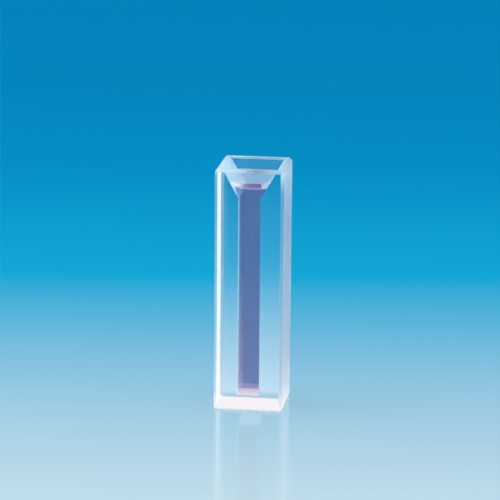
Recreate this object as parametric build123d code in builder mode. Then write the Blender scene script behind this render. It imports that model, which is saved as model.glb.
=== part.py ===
"""Semi-micro cuvette of fused silica, part filled with a sample, standing on its base.

Two polished windows enclose two thick side blocks, which stand on a base plate. The five plates
are fused to each other face to face, so they share their flat joint faces. The origin is the
centre of the bottom face, +Z points up through the mouth and light passes along Y.
"""
import os

from build123d import *

# Driving dimensions, in millimetres
cell_width = 12.5  # across both side blocks, along X
cell_height = 45.0
light_path = 10.0  # from window to window inside, along Y
window_thickness = 1.25
channel_width = 4.0  # between the side blocks, along X
floor_thickness = 2.8  # of the base plate
mouth_width = 10.0  # of the funnel at the rim, along X
funnel_depth = 5.4  # from the rim down to the straight channel
arris = 0.5  # leg of the chamfer ground along every outer edge above the foot
foot_arris = 0.3  # leg of the smaller chamfer around the foot
fill_below_rim = 3.7  # from the rim down to the sample's surface

# Heights and half widths that follow from them
funnel_foot = cell_height - funnel_depth
sample_level = cell_height - fill_below_rim
half_cell = cell_width / 2
half_channel = channel_width / 2
half_mouth = mouth_width / 2

# Front window: its outer face and the ends of its sides carry the ground arrises, and its inner
# face keeps sharp edges, because it is fused to the blocks and the base plate
with BuildPart() as front_window:
    with BuildSketch(Plane.XZ.offset(light_path / 2)):
        Rectangle(cell_width, cell_height, align=(Align.CENTER, Align.MIN))
    extrude(amount=window_thickness)
    outer_face = front_window.faces().sort_by(Axis.Y)[0]
    end_edges = front_window.edges().filter_by(Axis.Y)
    chamfer((outer_face.edges() + end_edges).group_by(Axis.Z)[0], length=foot_arris)
    outer_face = front_window.faces().sort_by(Axis.Y)[0]
    end_edges = front_window.edges().filter_by(Axis.Y)
    top_edges = (outer_face.edges() + end_edges).group_by(Axis.Z)[-1]
    chamfer(outer_face.edges().filter_by(Axis.Z) + top_edges, length=arris)
front_window.part.label = "front_window"

# Rear window: the same plate on the far side of the light path
with BuildPart() as rear_window:
    mirror(front_window.part, about=Plane.XZ)
rear_window.part.label = "rear_window"

# Base plate: closes the channel from below and carries the side blocks
with BuildPart() as base_plate:
    with BuildSketch(Plane.XY):
        Rectangle(cell_width, light_path)
    extrude(amount=floor_thickness)
    bottom_side_edges = base_plate.edges().filter_by(Axis.Y).group_by(Axis.Z)[0]
    chamfer(bottom_side_edges, length=foot_arris)
base_plate.part.label = "base_plate"

# Right side block: an upright wall whose inner face leans away above the funnel's foot
with BuildPart() as right_side_block:
    with BuildSketch(Plane.XZ):
        with BuildLine():
            Polyline(
                (half_channel, floor_thickness),
                (half_cell, floor_thickness),
                (half_cell, cell_height),
                (half_mouth, cell_height),
                (half_channel, funnel_foot),
                close=True,
            )
        make_face()
    extrude(amount=light_path / 2, both=True)
    top_outer_edge = right_side_block.edges().filter_by(Axis.Y).group_by(Axis.Z)[-1].sort_by(Axis.X)[-1]
    chamfer(top_outer_edge, length=arris)
right_side_block.part.label = "right_side_block"

# Left side block: the mirror image
with BuildPart() as left_side_block:
    mirror(right_side_block.part, about=Plane.YZ)
left_side_block.part.label = "left_side_block"

# Sample: fills the channel and the foot of the funnel up to its level
with BuildPart() as sample_liquid:
    with BuildSketch(Plane.XZ):
        with BuildLine():
            Polyline(
                (-half_channel, floor_thickness),
                (half_channel, floor_thickness),
                (half_channel, funnel_foot),
                (half_mouth, cell_height),
                (-half_mouth, cell_height),
                (-half_channel, funnel_foot),
                close=True,
            )
        make_face()
    extrude(amount=light_path / 2, both=True)
    split(bisect_by=Plane.XY.offset(sample_level), keep=Keep.BOTTOM)
sample_liquid.part.label = "sample_liquid"

os.makedirs("parts", exist_ok=True)
export_step(front_window.part, "parts/front_window.step")
export_step(rear_window.part, "parts/rear_window.step")
export_step(base_plate.part, "parts/base_plate.step")
export_step(right_side_block.part, "parts/right_side_block.step")
export_step(left_side_block.part, "parts/left_side_block.step")
export_step(sample_liquid.part, "parts/sample_liquid.step")

glass = [front_window, rear_window, base_plate, right_side_block, left_side_block]
glass_volume = sum(piece.part.volume for piece in glass)
print(f"glass {glass_volume:.1f} mm3, sample {sample_liquid.part.volume:.1f} mm3")
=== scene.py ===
# %% [markdown]
# A small square glass cell with a violet sample in it
#
# The real object is a measuring cell of fused silica. Five plates are cut, ground and polished, and
# then fused by heat into one clear body with a narrow channel and a funnel at its top. Light passes
# through the two polished windows, the sides and the bottom are finely ground, and every outer edge
# has a small ground chamfer. The cell is part filled with a violet liquid.
#
# The measured solids are loaded first. They say where everything is, and nothing here moves them.

# %% Load the measured solids
import math

import bmesh
import bpy
from mathutils import Matrix, Vector


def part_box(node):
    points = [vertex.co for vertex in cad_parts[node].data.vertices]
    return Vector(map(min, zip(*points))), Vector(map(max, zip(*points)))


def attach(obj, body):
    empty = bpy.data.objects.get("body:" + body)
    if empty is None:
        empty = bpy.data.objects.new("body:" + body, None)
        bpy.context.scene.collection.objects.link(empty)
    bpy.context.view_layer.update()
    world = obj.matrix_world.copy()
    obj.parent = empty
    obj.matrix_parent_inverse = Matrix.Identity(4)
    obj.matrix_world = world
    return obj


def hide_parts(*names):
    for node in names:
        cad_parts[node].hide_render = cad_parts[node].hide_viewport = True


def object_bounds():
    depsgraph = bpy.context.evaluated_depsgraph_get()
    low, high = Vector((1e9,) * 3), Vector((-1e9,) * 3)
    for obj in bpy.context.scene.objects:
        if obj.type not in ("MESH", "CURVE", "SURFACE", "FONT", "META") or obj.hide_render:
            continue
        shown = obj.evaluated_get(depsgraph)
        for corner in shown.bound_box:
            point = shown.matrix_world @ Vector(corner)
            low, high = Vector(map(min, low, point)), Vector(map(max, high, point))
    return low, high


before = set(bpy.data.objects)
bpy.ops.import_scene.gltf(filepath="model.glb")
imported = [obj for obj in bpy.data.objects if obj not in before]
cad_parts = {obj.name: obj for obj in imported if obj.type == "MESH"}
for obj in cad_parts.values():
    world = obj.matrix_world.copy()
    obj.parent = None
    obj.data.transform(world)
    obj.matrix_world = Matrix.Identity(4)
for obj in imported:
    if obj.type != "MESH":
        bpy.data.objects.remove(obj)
solids_low, solids_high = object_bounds()
print("solids", sorted(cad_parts), "from", list(solids_low), "to", list(solids_high))

# %% [markdown]
# Every size comes from the solids: boxes give the plain ones, and the side block's own corners give
# the funnel. A value is read once here and used by name below, so the glass and the sample follow
# if a solid changes. Corners that are less than a hair apart count as being in the same place.

# %% Read the sizes
MM = 0.001
hair = 0.01 * MM

window_high_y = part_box("front_window")[1].y
path_half = -window_high_y
cell_half = Vector((solids_high.x, solids_high.y))
rim_z = solids_high.z
floor_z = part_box("base_plate")[1].z
channel_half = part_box("right_side_block")[0].x
level_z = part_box("sample_liquid")[1].z

block_corners = [v.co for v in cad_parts["right_side_block"].data.vertices]
window_corners = [v.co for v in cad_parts["front_window"].data.vertices]
mouth_half = min(c.x for c in block_corners if c.z > rim_z - hair)
funnel_foot_z = max(c.z for c in block_corners if c.x < channel_half + hair)
outer_corners = [c for c in window_corners if c.y < -cell_half.y + hair]
arris = cell_half.x - max(c.x for c in outer_corners)
foot_arris = min(c.z for c in outer_corners)
slope_run = (mouth_half - channel_half) / (rim_z - funnel_foot_z)
print(f"channel {2 * channel_half / MM:.2f} mm wide, its floor at {floor_z / MM:.2f} mm")
print(f"funnel from {funnel_foot_z / MM:.2f} mm up, {2 * mouth_half / MM:.2f} mm wide at the rim")
print(f"chamfers {arris / MM:.2f} mm, at the foot {foot_arris / MM:.2f} mm")


def hollow_half_width(z):
    """Half the width of the hollow at a height: the straight channel, then the funnel."""
    return channel_half + max(0.0, z - funnel_foot_z) * slope_run


# %% [markdown]
# A liquid creeps up clean glass, so its surface is a dish. It climbs well up the two upright windows
# and hardly at all up the funnel's leaning sides, where it already meets the glass at the angle that
# it likes. The wetted wall and the dry wall refract differently, because one borders water and the
# other air, so the glass needs to know this shape as well.

# %% Set the meniscus
dish_depth = 0.78 * MM
window_rise = 1.84 * MM
window_reach = 4.7 * MM
side_rise = 0.3 * MM
side_reach = 1.6 * MM
dish_z = level_z - dish_depth
contact_z = dish_z + window_rise
print(f"the sample dips to {dish_z / MM:.2f} mm and meets the windows at {contact_z / MM:.2f} mm")

# %% [markdown]
# Edit mode acts on what is selected. These helpers put a primitive in the scene, choose its faces,
# edges or corners by their place, and leave edit mode again. Everything is deselected first,
# because an operator works on all that is selected.

# %% Helpers for edit mode


def start_piece(name, size):
    """Names the new unit primitive, gives it its size and puts it in edit mode."""
    piece = bpy.context.object
    piece.name = name
    piece.data.name = name
    piece.scale = size
    bpy.ops.object.transform_apply(location=True, rotation=True, scale=True)
    bpy.ops.object.mode_set(mode="EDIT")
    return piece


def end_piece(piece):
    """Leaves edit mode and reports the mesh."""
    bpy.ops.object.mode_set(mode="OBJECT")
    print(piece.name, len(piece.data.polygons), "faces")


def pick(piece, kind, test):
    """Selects the faces, edges or corners whose middle passes a test, and nothing else."""
    mesh = bmesh.from_edit_mesh(piece.data)
    bpy.ops.mesh.select_mode(type={"faces": "FACE", "edges": "EDGE", "verts": "VERT"}[kind])
    bpy.ops.mesh.select_all(action="DESELECT")
    for item in getattr(mesh, kind):
        if kind == "faces":
            place = item.calc_center_median()
        elif kind == "edges":
            place = (item.verts[0].co + item.verts[1].co) / 2
        else:
            place = item.co
        if test(item, place):
            item.select_set(True)
    bmesh.update_edit_mesh(piece.data)


def push(offset):
    """Extrudes what is selected and moves the new part."""
    bpy.ops.mesh.extrude_region_move(TRANSFORM_OT_translate={"value": offset})


def scale_about_axis(x=1.0, y=1.0):
    """Scales what is selected across the cell's upright middle line."""
    bpy.ops.transform.resize(value=(x, y, 1), center_override=(0, 0, 0))


# %% [markdown]
# The body of glass. The plates are fused, so light crosses their joints without a trace. Five
# closed meshes side by side would each bend and reflect it at every joint, so the visible glass is
# one closed mesh. It is a block with its twelve outer edges bevelled, those at the foot less. Its
# top is inset and sunk twice, once sloping in for the funnel and once straight down for the
# channel. Last, the outer edges and those of the rim are rounded a little.

# %% Model the fused glass
bpy.ops.object.select_all(action="DESELECT")
bpy.ops.mesh.primitive_cube_add(size=1, location=(solids_low + solids_high) / 2)
cell = start_piece("fused_cell", solids_high - solids_low)
bpy.ops.mesh.select_all(action="SELECT")
bpy.ops.mesh.bevel(offset=arris, offset_type="OFFSET", segments=1, affect="EDGES")
pick(cell, "verts", lambda vert, place: abs(place.z - arris) < hair)
bpy.ops.transform.translate(value=(0, 0, foot_arris - arris))
pick(cell, "verts", lambda vert, place: place.z < hair)
foot_scale = (cell_half.x - foot_arris) / (cell_half.x - arris)
scale_about_axis(x=foot_scale, y=foot_scale)

rim_width = cell_half.y - arris - path_half
pick(cell, "faces", lambda face, place: place.z > rim_z - hair)
bpy.ops.mesh.inset(thickness=rim_width, use_even_offset=True)
scale_about_axis(x=mouth_half / (cell_half.x - arris - rim_width))
push((0, 0, funnel_foot_z - rim_z))
scale_about_axis(x=channel_half / mouth_half)
push((0, 0, floor_z - funnel_foot_z))


def is_inside(place):
    """True for a point on the walls or the floor of the hollow."""
    near_wall = abs(place.x) < hollow_half_width(place.z) + hair
    return near_wall and abs(place.y) < path_half + hair and place.z > floor_z - hair


edge_round = 0.06 * MM
sharp_angle = math.radians(25)
pick(
    cell,
    "edges",
    lambda edge, place: edge.calc_face_angle() > sharp_angle
    and (not is_inside(place) or place.z > rim_z - hair),
)
bpy.ops.mesh.bevel(offset=edge_round, offset_type="OFFSET", segments=2, affect="EDGES")
end_piece(cell)

# %% [markdown]
# The sample. A grid as large as the channel is raised to the dish's lowest level, which leaves walls
# behind it. Its front and rear rows are lifted with proportional editing, then its sides a little,
# and each row is widened until it meets the funnel's sides. The walls' lower edge is hidden
# meanwhile, so that it stays, and then goes down to the floor of the channel and is closed. A
# film's breadth of space keeps the sample's skin and the glass apart.

# %% Model the sample
film = 0.01 * MM
grid_step = 0.125 * MM
foot_half = Vector((channel_half - film, path_half - film))

bpy.ops.object.select_all(action="DESELECT")
bpy.ops.mesh.primitive_grid_add(
    x_subdivisions=round(mouth_half / grid_step),
    y_subdivisions=round(2 * foot_half.y / grid_step),
    size=1,
    location=(0, 0, funnel_foot_z),
)
sample = start_piece("sample_body", (2 * foot_half.x, 2 * foot_half.y, 1))
bpy.ops.mesh.select_all(action="SELECT")
push((0, 0, dish_z - funnel_foot_z))
pick(sample, "verts", lambda vert, place: place.z < funnel_foot_z + hair)
bpy.ops.mesh.hide()


def lift(test, height, reach):
    """Lifts the chosen rim of the surface and lets the lift fade out over the reach."""
    pick(sample, "verts", lambda vert, place: test(place))
    bpy.ops.transform.translate(
        value=(0, 0, height),
        use_proportional_edit=True,
        proportional_edit_falloff="SHARP",
        proportional_size=reach,
    )


def row_of(place):
    """The number that all the corners of one row of the grid share."""
    return round(place.y / grid_step, 2)


lift(lambda place: abs(place.y) > foot_half.y - hair, window_rise, window_reach)
lift(lambda place: abs(place.x) > foot_half.x - hair, side_rise, side_reach)
bpy.ops.object.mode_set(mode="OBJECT")
rim_heights = {}
for corner in sample.data.vertices:
    if corner.co.x > foot_half.x - hair and corner.co.z > funnel_foot_z + hair:
        rim_heights[row_of(corner.co)] = corner.co.z
lowest, highest = min(rim_heights.values()), max(rim_heights.values())
print(f"{len(rim_heights)} rows, their ends from {lowest / MM:.2f} to {highest / MM:.2f} mm")
bpy.ops.object.mode_set(mode="EDIT")
for row, height in rim_heights.items():
    pick(sample, "verts", lambda vert, place: not vert.hide and row_of(place) == row)
    scale_about_axis(x=(hollow_half_width(height) - film) / foot_half.x)
bpy.ops.mesh.reveal(select=False)
pick(sample, "faces", lambda face, place: place.z < funnel_foot_z + hair)
bpy.ops.mesh.delete(type="FACE")
pick(sample, "edges", lambda edge, place: edge.is_boundary)
push((0, 0, floor_z + film - funnel_foot_z))
bpy.ops.mesh.edge_face_add()
bpy.ops.mesh.select_all(action="SELECT")
bpy.ops.mesh.normals_make_consistent(inside=False)
end_piece(sample)

# %% [markdown]
# Shader nodes are easier to read as sums than as boxes and wires. Signal wraps one socket, so that
# noise * 0.2 + 0.5 adds the Math nodes that say so, and Graph adds any other node in one call: its
# kind, its settings, then the values or links of its sockets.

# %% Shader expressions


class Signal:
    """One output socket, with Python's operators as Math nodes."""

    def __init__(self, graph, socket):
        self.graph = graph
        self.socket = socket

    def math(self, operation, left, right=0.0):
        return self.graph.add("ShaderNodeMath", {"operation": operation}, {0: left, 1: right})

    def __add__(self, other):
        return self.math("ADD", self, other)

    def __radd__(self, other):
        return self.math("ADD", other, self)

    def __sub__(self, other):
        return self.math("SUBTRACT", self, other)

    def __rsub__(self, other):
        return self.math("SUBTRACT", other, self)

    def __mul__(self, other):
        return self.math("MULTIPLY", self, other)

    def __rmul__(self, other):
        return self.math("MULTIPLY", other, self)

    def __truediv__(self, other):
        return self.math("DIVIDE", self, other)

    def __gt__(self, other):
        return self.math("GREATER_THAN", self, other)

    def __lt__(self, other):
        return self.math("LESS_THAN", self, other)

    def __abs__(self):
        return self.math("ABSOLUTE", self)

    def at_least(self, low):
        return self.math("MAXIMUM", self, low)

    def at_most(self, high):
        return self.math("MINIMUM", self, high)


class Graph:
    """The node tree of a material or of the world."""

    def __init__(self, owner):
        owner.use_nodes = True
        self.tree = owner.node_tree
        self.tree.nodes.clear()

    def add(self, kind, settings=None, values=None, output=0):
        """Adds a node, its settings first, and returns one of its outputs as a Signal."""
        node = self.tree.nodes.new(kind)
        for name, value in (settings or {}).items():
            if name == "stops":
                self.set_stops(node.color_ramp, value)
            else:
                setattr(node, name, value)
        for name, value in (values or {}).items():
            if isinstance(value, Signal):
                self.tree.links.new(value.socket, node.inputs[name])
            else:
                node.inputs[name].default_value = value
        return Signal(self, node.outputs[output]) if node.outputs else None

    @staticmethod
    def set_stops(ramp, stops):
        while len(ramp.elements) < len(stops):
            ramp.elements.new(0.5)
        for element, (position, colour) in zip(ramp.elements, stops):
            element.position = position
            element.color = (*colour, 1)

    def object_place(self):
        """Where a point is on the object, in metres, and its three numbers."""
        place = self.add("ShaderNodeTexCoord", output="Object")
        return place, [self.number(place, axis) for axis in "XYZ"]

    def number(self, vector, axis):
        return self.add("ShaderNodeSeparateXYZ", values={"Vector": vector}, output=axis)


def new_graph(name):
    material = bpy.data.materials.new(name)
    return material, Graph(material)


# %% [markdown]
# Polished silica. Its windows are flat to a fraction of a wavelength, so what shows is what lies
# behind them and the bright lines of their edges. Silica bends light less than window glass, and
# cloth leaves faint wipe marks on it, which come from long noise across the roughness. Inside the
# hollow the same glass borders the sample below the meniscus and air above it. Light passes from
# silica to water almost straight on, because the index there is the ratio of the two.

# %% Material: polished silica
SILICA_INDEX = 1.46
WATER_INDEX = 1.333
CLEAR = (0.99, 0.997, 1.0, 1)
WIPES_PER_METRE = 160.0
WIPE_ROUGHNESS = 0.02


def clear_shader(graph, place, index):
    """Polished glass that bends light by this index, with faint wipe marks."""
    wipes = graph.add(
        "ShaderNodeTexNoise",
        values={"Vector": place, "Scale": WIPES_PER_METRE, "Detail": 3.0, "Distortion": 1.2},
    )
    return graph.add(
        "ShaderNodeBsdfPrincipled",
        values={
            "Base Color": CLEAR,
            "Roughness": wipes * WIPE_ROUGHNESS,
            "IOR": index,
            "Transmission Weight": 1.0,
        },
    )


def wetness(across, along, height):
    """1 where a wall of the hollow lies below the meniscus, 0 above it."""
    half_width = (height - funnel_foot_z).at_least(0.0) * slope_run + channel_half
    near_window = (1.0 - (path_half - abs(along)) * (1 / window_reach)).at_least(0.0)
    side_gap = (1.0 - abs(across) / half_width) * channel_half
    near_side = (1.0 - side_gap * (1 / side_reach)).at_least(0.0)
    surface_z = near_window * near_window * window_rise + near_side * near_side * side_rise + dish_z
    return height < surface_z


def polished_silica():
    material, graph = new_graph("polished_silica")
    place, _ = graph.object_place()
    surface = clear_shader(graph, place, SILICA_INDEX)
    graph.add("ShaderNodeOutputMaterial", values={"Surface": surface})
    return material


def hollow_silica():
    material, graph = new_graph("hollow_silica")
    place, numbers = graph.object_place()
    dry = clear_shader(graph, place, SILICA_INDEX)
    wet = clear_shader(graph, place, SILICA_INDEX / WATER_INDEX)
    surface = graph.add("ShaderNodeMixShader", values={0: wetness(*numbers), 1: dry, 2: wet})
    graph.add("ShaderNodeOutputMaterial", values={"Surface": surface})
    return material


# %% [markdown]
# Ground silica. Fine grit leaves a skin of tiny pits that scatters light both ways, so a ground
# face looks white where light falls on it from either side and still lets a blurred background
# through. The roughness does the blurring, translucent scatter does the whitening, and noise breaks
# up both as the grit did. Light that is caught in the glass meets the face from inside at a slant
# and makes it glow. Roughness alone loses that light, so scatter is added at such slants. Where the
# sample wets a ground face it fills the pits, and the face turns clear.

# %% Material: ground silica
GRAIN_PER_METRE = 9000.0
GRAIN_DEPTH = 0.02 * MM
GRAIN_STRENGTH = 0.25
CLOUDS_PER_METRE = 260.0
CLOUD_ROUGHNESS = 0.12
CLOUD_MILK = 0.1
COARSE, FINE, FINEST = 1.0, 0.42, 0.25
FROST = (0.93, 0.96, 0.98, 1)
PALE_FROST = (0.98, 0.99, 1.0, 1)
SCATTER = (0.975, 0.98, 0.985, 1)
CAUGHT_LIGHT = 0.95


def ground_shader(graph, place, clearness, milk, roughness):
    """A finely ground face: blurred glass mixed with translucent white."""
    grain = graph.add(
        "ShaderNodeTexNoise",
        values={"Vector": place, "Scale": GRAIN_PER_METRE, "Detail": 2.0},
    )
    clouds = graph.add(
        "ShaderNodeTexNoise",
        values={"Vector": place, "Scale": CLOUDS_PER_METRE, "Detail": 3.0},
    )
    shade = graph.add(
        "ShaderNodeMix",
        {"data_type": "RGBA"},
        {"Factor": clouds, "A": FROST, "B": PALE_FROST},
        output="Result",
    )
    bump = graph.add(
        "ShaderNodeBump",
        values={"Strength": GRAIN_STRENGTH, "Distance": GRAIN_DEPTH, "Height": grain},
    )
    blurred = graph.add(
        "ShaderNodeBsdfPrincipled",
        values={
            "Base Color": shade,
            "Roughness": clouds * CLOUD_ROUGHNESS + roughness,
            "IOR": SILICA_INDEX,
            "Transmission Weight": clearness,
            "Normal": bump,
        },
    )
    scatter = graph.add("ShaderNodeBsdfTranslucent", values={"Color": SCATTER})
    from_inside = graph.add("ShaderNodeNewGeometry", output="Backfacing")
    slant = graph.add("ShaderNodeLayerWeight", values={"Blend": 0.5}, output="Facing")
    glow = from_inside * slant * slant * slant * max(0.0, CAUGHT_LIGHT - milk)
    whiteness = clouds * CLOUD_MILK + glow + milk
    return graph.add("ShaderNodeMixShader", values={0: whiteness, 1: blurred, 2: scatter})


def ground_silica(name, clearness, milk, roughness=FINE):
    material, graph = new_graph(name)
    place, _ = graph.object_place()
    surface = ground_shader(graph, place, clearness, milk, roughness)
    graph.add("ShaderNodeOutputMaterial", values={"Surface": surface})
    return material


def ground_funnel():
    material, graph = new_graph("ground_funnel")
    place, numbers = graph.object_place()
    dry = ground_shader(graph, place, clearness=1.0, milk=0.0, roughness=FINEST)
    wet = clear_shader(graph, place, SILICA_INDEX / WATER_INDEX)
    surface = graph.add("ShaderNodeMixShader", values={0: wetness(*numbers), 1: dry, 2: wet})
    graph.add("ShaderNodeOutputMaterial", values={"Surface": surface})
    return material


# %% [markdown]
# The sample's colour grows with the length of liquid that light crosses: pink in a corner, violet
# through the full path. Volume absorption does just that, most of all in the green. A trace of
# cloudiness sends light on in all directions, so that the channel looks evenly violet and not like
# a tinted window. A volume that scatters is slow and noisy, so the cloudiness is gathered in the
# sample's skin. Most is in the wall towards the rear window, bluer where light crosses the sample
# straight, and left out where it comes up from the channel's bright foot. Some is in the walls
# towards the side blocks, past their front corner and above the foot, and a thin film lies on the
# dish. Only the top bends light here, because the wetted glass already bends it at the walls. A ray
# that leaves the sample meets its skin from within and gets the normal turned round, so it is
# turned back first.

# %% Material: sample
SAMPLE_TINT = (0.80, 0.565, 0.80, 1)
SAMPLE_DENSITY = 200.0
SWIRLS_PER_METRE = 90.0
COOL_SKIN = (0.96, 0.95, 1.0, 1)
WARM_SKIN = (1.0, 0.98, 1.0, 1)
CLOUDINESS = 0.98
SIDE_CLOUDINESS = 0.35
SURFACE_FILM = 0.12
STRAIGHT_CLOUD = (0.40, 0.90, 0.99, 1)
SLANTING_CLOUD = (1.0, 0.95, 1.0, 1)
SIDE_CLOUD = (0.21, 0.27, 0.31, 1)
FILM = (1.0, 0.95, 0.97, 1)
STRAIGHT_START, STRAIGHT_FADE = 1.25, 12.0
SLANT_START, SLANT_RISE = 0.3, 5.0
COLOUR_TURN = 4.0
CLEAR_CORNER = 1.6 * MM
CORNER_FADE = 1.0 * MM
FOOT_FADE = 2.5 * MM
UPWARD, REARWARD, SIDEWAYS = 0.15, 0.5, 0.9


def violet_sample():
    material, graph = new_graph("violet_sample")
    place, (_, along, height) = graph.object_place()
    swirl = graph.add(
        "ShaderNodeTexNoise",
        values={"Vector": place, "Scale": SWIRLS_PER_METRE, "Detail": 1.0},
    )
    tint = graph.add(
        "ShaderNodeMix",
        {"data_type": "RGBA"},
        {"Factor": swirl, "A": COOL_SKIN, "B": WARM_SKIN},
        output="Result",
    )
    walls, top = [
        graph.add(
            "ShaderNodeBsdfPrincipled",
            values={
                "Base Color": tint,
                "Roughness": 0.0,
                "IOR": index,
                "Transmission Weight": 1.0,
            },
        )
        for index in (1.0, WATER_INDEX)
    ]
    straight_cloud, slanting_cloud, side_cloud, surface_film = [
        graph.add("ShaderNodeBsdfTranslucent", values={"Color": colour})
        for colour in (STRAIGHT_CLOUD, SLANTING_CLOUD, SIDE_CLOUD, FILM)
    ]

    def mixed(factor, first, second):
        return graph.add("ShaderNodeMixShader", values={0: factor, 1: first, 2: second})

    normal = graph.add("ShaderNodeNewGeometry", output="Normal")
    outward = 1.0 - graph.add("ShaderNodeNewGeometry", output="Backfacing") * 2.0
    on_top = graph.number(normal, "Z") * outward > UPWARD
    at_rear = graph.number(normal, "Y") * outward > REARWARD
    at_side = abs(graph.number(normal, "X")) > SIDEWAYS
    slant = graph.add("ShaderNodeLayerWeight", values={"Blend": 0.5}, output="Facing")
    nearly_straight = (STRAIGHT_START - slant * STRAIGHT_FADE).at_least(0.0)
    very_slanting = (slant - SLANT_START) * SLANT_RISE
    haze = at_rear * nearly_straight.at_least(very_slanting).at_most(1.0) * CLOUDINESS
    cloud = mixed((slant * COLOUR_TURN).at_most(1.0), straight_cloud, slanting_cloud)
    walls = mixed(haze, walls, cloud)
    from_corner = along + path_half - CLEAR_CORNER
    past_corner = (from_corner * (1 / CORNER_FADE)).at_least(0.0).at_most(1.0)
    above_foot = ((height - floor_z) * (1 / FOOT_FADE)).at_most(1.0)
    walls = mixed(at_side * past_corner * above_foot * SIDE_CLOUDINESS, walls, side_cloud)
    top = mixed(SURFACE_FILM, top, surface_film)
    surface = mixed(on_top, walls, top)
    depth = graph.add(
        "ShaderNodeVolumeAbsorption",
        values={"Color": SAMPLE_TINT, "Density": SAMPLE_DENSITY},
    )
    graph.add("ShaderNodeOutputMaterial", values={"Surface": surface, "Volume": depth})
    return material


# %% [markdown]
# Each face of the glass gets its finish by its place. The windows' two outer faces and the floor
# and upright walls of the hollow are polished, and the sides, the bottom, the rim, the funnel's
# leaning sides and all chamfers are ground. The chamfers and the funnel are ground finer than the
# sides, so they are clearer, and the bottom and the chamfers at its edge are the whitest.

# %% Give the faces their finish
polished, hollow, funnel = polished_silica(), hollow_silica(), ground_funnel()
side, chamfer, base, foot = (
    ground_silica("ground_sides", clearness=0.95, milk=0.28, roughness=COARSE),
    ground_silica("ground_chamfers", clearness=1.0, milk=0.02),
    ground_silica("ground_base", clearness=0.6, milk=0.8),
    ground_silica("ground_foot", clearness=0.1, milk=0.7),
)
finishes = [polished, hollow, funnel, side, chamfer, base, foot]
for material in finishes:
    cell.data.materials.append(material)
FLAT, LEANING, DOWNWARD = 0.99, 0.5, -0.1


def finish_of(face):
    """The finish of one face of the glass, by its place and the way it faces."""
    middle, normal = face.center, face.normal
    if is_inside(middle) and middle.z < rim_z - 2 * edge_round:
        on_slope = middle.z > funnel_foot_z and abs(normal.x) > LEANING
        return funnel if on_slope else hollow
    if abs(normal.y) > FLAT:
        return polished
    if abs(normal.x) > FLAT or normal.z > FLAT:
        return side
    if normal.z < -FLAT:
        return base
    return foot if normal.z < DOWNWARD else chamfer


for face in cell.data.polygons:
    face.material_index = finishes.index(finish_of(face))
sample.data.materials.append(violet_sample())
for number, material in enumerate(finishes):
    print(material.name, sum(f.material_index == number for f in cell.data.polygons), "faces")

# %% [markdown]
# The sample's dish is shaded smooth, and its corners stay sharp. The glass stays flat shaded. Its
# rounded edges are narrower than a pixel, and smooth shading would tilt the light all over the wide
# windows between them, which are truly flat.

# %% Shade the dish smooth
smooth_angle = math.radians(24)
bpy.ops.object.select_all(action="DESELECT")
sample.select_set(True)
bpy.context.view_layer.objects.active = sample
bpy.ops.object.shade_smooth_by_angle(angle=smooth_angle)
print(sample.name, sum(f.use_smooth for f in sample.data.polygons), "smooth faces")

# %% [markdown]
# Both pieces stand for solids: the glass for the five fused plates, the sample for the liquid.

# %% Tie the pieces to the solids
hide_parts("front_window", "rear_window", "left_side_block", "right_side_block", "base_plate")
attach(cell, "root")
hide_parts("sample_liquid")
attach(sample, "root")

# %% [markdown]
# The camera looks slightly down on the front window and past its right edge. The angles, the
# distance and the lens come from a camera fitted to the cell's outline, whose sizes are known.

# %% Camera
camera_azimuth = math.radians(7.98)
camera_height_angle = math.radians(14.25)
camera_distance = 0.524
camera_roll = math.radians(0.47)
aim_right = -0.00059
aim_up = 0.02877
sensor_width = 36.0
lens_length = 207.2

back = Vector(
    (
        math.sin(camera_azimuth) * math.cos(camera_height_angle),
        -math.cos(camera_azimuth) * math.cos(camera_height_angle),
        math.sin(camera_height_angle),
    )
)
right = Vector((math.cos(camera_azimuth), math.sin(camera_azimuth), 0))
aim = right * aim_right + Vector((0, 0, aim_up))
camera_data = bpy.data.cameras.new("camera")
camera_data.sensor_width = sensor_width
camera_data.lens = lens_length
camera_data.clip_start = 0.01
camera_data.clip_end = 20.0
camera = bpy.data.objects.new("camera", camera_data)
bpy.context.scene.collection.objects.link(camera)
turn = Matrix((right, back.cross(right), back)).transposed()
camera.matrix_world = (
    Matrix.Translation(aim + back * camera_distance)
    @ turn.to_4x4()
    @ Matrix.Rotation(camera_roll, 4, "Z")
)
bpy.context.scene.camera = camera
print("camera at", [round(v, 4) for v in camera.matrix_world.translation])

# %% [markdown]
# The stage is one plain sheet that is pale where the cell stands and deepens to blue far behind it,
# and in front of the picture too, where only the glass mirrors it. Clear glass shows nothing but
# its surroundings, so the sheet matters as much as the lamps do. What is seen of it directly, in a
# gloss or through glass is its own colour, by emission, and the rest is lit, so that it keeps the
# cell's shadow. In the photo the sheet looks paler through the windows than beside them, most of
# all close behind the cell, so what is seen through glass gets painted light: a white glow painted
# into the sheet's colour, strongest close behind the cell.

# %% Floor
floor_drop = 0.02 * MM
sheet_size = 4.0
bpy.ops.object.select_all(action="DESELECT")
bpy.ops.mesh.primitive_plane_add(size=sheet_size, location=(0, 0, -floor_drop))
floor = bpy.context.object
floor.name = "floor_sheet"
floor_material, graph = new_graph("floor_sheet")
place = graph.add("ShaderNodeTexCoord", output="Object")
level_back = Vector((back.x, back.y, 0)).normalized()
behind = graph.add(
    "ShaderNodeVectorMath",
    {"operation": "DOT_PRODUCT"},
    {0: place, 1: -level_back},
    output="Value",
)
near_end, far_end = -0.20, 0.45
lit_share, shown_share = 0.35, 0.6


def along_sheet(stops):
    """A colour ramp over the sheet, its stops given in metres behind the cell."""
    return graph.add(
        "ShaderNodeValToRGB",
        {"stops": [((s - near_end) / (far_end - near_end), colour) for s, colour in stops]},
        {"Fac": (behind - near_end) * (1 / (far_end - near_end))},
        output="Color",
    )


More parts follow.
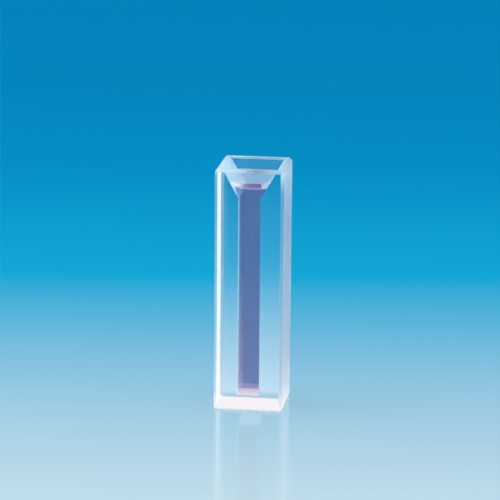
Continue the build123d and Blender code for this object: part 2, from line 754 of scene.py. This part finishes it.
open_colour = along_sheet(
    [
        (-0.20, (0.0, 0.20, 0.43)),
        (-0.11, (0.0, 0.30, 0.54)),
        (-0.07, (0.59, 0.70, 0.73)),
        (-0.053, (0.59, 0.70, 0.73)),
        (0.0, (0.38, 0.585, 0.69)),
        (0.055, (0.12, 0.437, 0.61)),
        (0.09, (0.005, 0.36, 0.57)),
        (0.194, (0.0, 0.229, 0.44)),
        (0.30, (0.0, 0.18, 0.37)),
        (0.45, (0.0, 0.16, 0.35)),
    ]
)
# Painted light: how much white is painted into the sheet's colour, by distance behind the cell, seen
# only through glass.
painted_glow_stops = (
    (0.006, 0.05),
    (0.0088, 0.15),
    (0.0102, 0.5),
    (0.014, 0.44),
    (0.031, 0.3),
    (0.068, 0.135),
    (0.105, 0.042),
    (0.2, 0.0),
)
painted_glow_through_glass = along_sheet([(metres, (painted_white, painted_white, painted_white)) for metres, painted_white in painted_glow_stops])
seen_directly, seen_in_gloss, seen_through_glass = [
    graph.add("ShaderNodeLightPath", output=kind)
    for kind in ("Is Camera Ray", "Is Glossy Ray", "Is Transmission Ray")
]
# The painted glow turns the sheet's colour towards white for rays that come through glass.
sheet_colour = graph.add(
    "ShaderNodeMix",
    {"data_type": "RGBA"},
    {"Factor": painted_glow_through_glass * seen_through_glass, "A": open_colour, "B": (1, 1, 1, 1)},
    output="Result",
)
seen = (seen_directly + seen_in_gloss + seen_through_glass).at_most(1.0)
lit_part, shown_part = [
    graph.add(
        "ShaderNodeMix",
        {"data_type": "RGBA"},
        {"Factor": factor, "A": (0, 0, 0, 1), "B": sheet_colour},
        output="Result",
    )
    for factor in (lit_share, seen * shown_share)
]
surface = graph.add(
    "ShaderNodeBsdfPrincipled",
    values={
        "Base Color": lit_part,
        "Emission Color": shown_part,
        "Emission Strength": 1.0,
        "Roughness": 0.12,
        "Specular IOR Level": 0.5,
    },
)
graph.add("ShaderNodeOutputMaterial", values={"Surface": surface})
floor_material.cycles.emission_sampling = "NONE"
floor.data.materials.append(floor_material)
print(floor.name, "is", sheet_size, "m wide, with", len(painted_glow_stops), "stops in its veil")

# %% [markdown]
# The ground bottom is as white as paper in the photo, as on a light table. A pad of light under and
# beside the cell shines upwards, and nothing else of it is seen: from below and to the camera it is
# clear, so the sheet around the cell keeps its colour.

# %% Light pad
pad_half_width = 18.0 * MM
pad_front, pad_rear = -8.0 * MM, 6.2 * MM
bpy.ops.object.select_all(action="DESELECT")
bpy.ops.mesh.primitive_plane_add(size=2 * pad_half_width, location=(0, 0, -floor_drop / 2))
pad = bpy.context.object
pad.name = "light_pad"
pad.location.y = (pad_front + pad_rear) / 2
pad.scale.y = (pad_rear - pad_front) / (2 * pad_half_width)
pad_material, graph = new_graph("light_pad")
glow = graph.add("ShaderNodeEmission", values={"Color": (1.0, 0.94, 0.95, 1), "Strength": 1.0})
clear = graph.add("ShaderNodeBsdfTransparent")
from_below = graph.add("ShaderNodeNewGeometry", output="Backfacing")
to_camera = graph.add("ShaderNodeLightPath", output="Is Camera Ray")
surface = graph.add(
    "ShaderNodeMixShader", values={0: (from_below + to_camera).at_most(1.0), 1: glow, 2: clear}
)
graph.add("ShaderNodeOutputMaterial", values={"Surface": surface})
pad.data.materials.append(pad_material)
print(pad.name, f"reaches from {pad_front / MM:.1f} to {pad_rear / MM:.1f} mm")

# %% [markdown]
# The light is soft: a dome that is blue low down, as the far end of the sheet is, and pale from
# half way up, a broad warm lamp on the left that whitens the ground faces there, and a smaller,
# lower white one on the right. Neither the camera nor a gloss shows the lamps, so they stay out of
# the pictures from the side.

# %% World and lamps
low_sky, high_sky = (0.0, 0.20, 0.43), (0.57, 0.88, 1.0)
low_stop, high_stop = 0.28, 0.58
sky_strength = 1.2
lamp_target = Vector((0, 0, 0.02))

world = bpy.data.worlds.new("studio")
bpy.context.scene.world = world
graph = Graph(world)
direction = graph.add("ShaderNodeTexCoord", output="Generated")
dome = graph.add(
    "ShaderNodeValToRGB",
    {"stops": [(low_stop, low_sky), (high_stop, high_sky)]},
    {"Fac": graph.number(direction, "Z")},
)
sky = graph.add("ShaderNodeBackground", values={"Color": dome, "Strength": sky_strength})
graph.add("ShaderNodeOutputWorld", values={"Surface": sky})


def softbox(name, place, width, height, strength, colour=(1.0, 1.0, 1.0)):
    """A rectangular lamp that faces the cell."""
    data = bpy.data.lights.new(name, "AREA")
    data.shape = "RECTANGLE"
    data.size = width
    data.size_y = height
    data.energy = strength * width * height * math.pi
    data.color = colour
    lamp = bpy.data.objects.new(name, data)
    bpy.context.scene.collection.objects.link(lamp)
    lamp.location = place
    towards = lamp_target - Vector(place)
    lamp.rotation_euler = towards.to_track_quat("-Z", "Y").to_euler()
    lamp.visible_camera = False
    lamp.visible_glossy = False
    print(name, "at", place, "of", round(data.energy, 2), "W")


softbox(
    "left_softbox",
    place=(-0.45, 0.0, 0.22),
    width=0.50,
    height=0.45,
    strength=2.6,
    colour=(1.0, 0.82, 0.75),
)
softbox("right_softbox", place=(0.50, -0.05, 0.12), width=0.30, height=0.30, strength=2.0)

bpy.context.scene.view_settings.view_transform = "Standard"
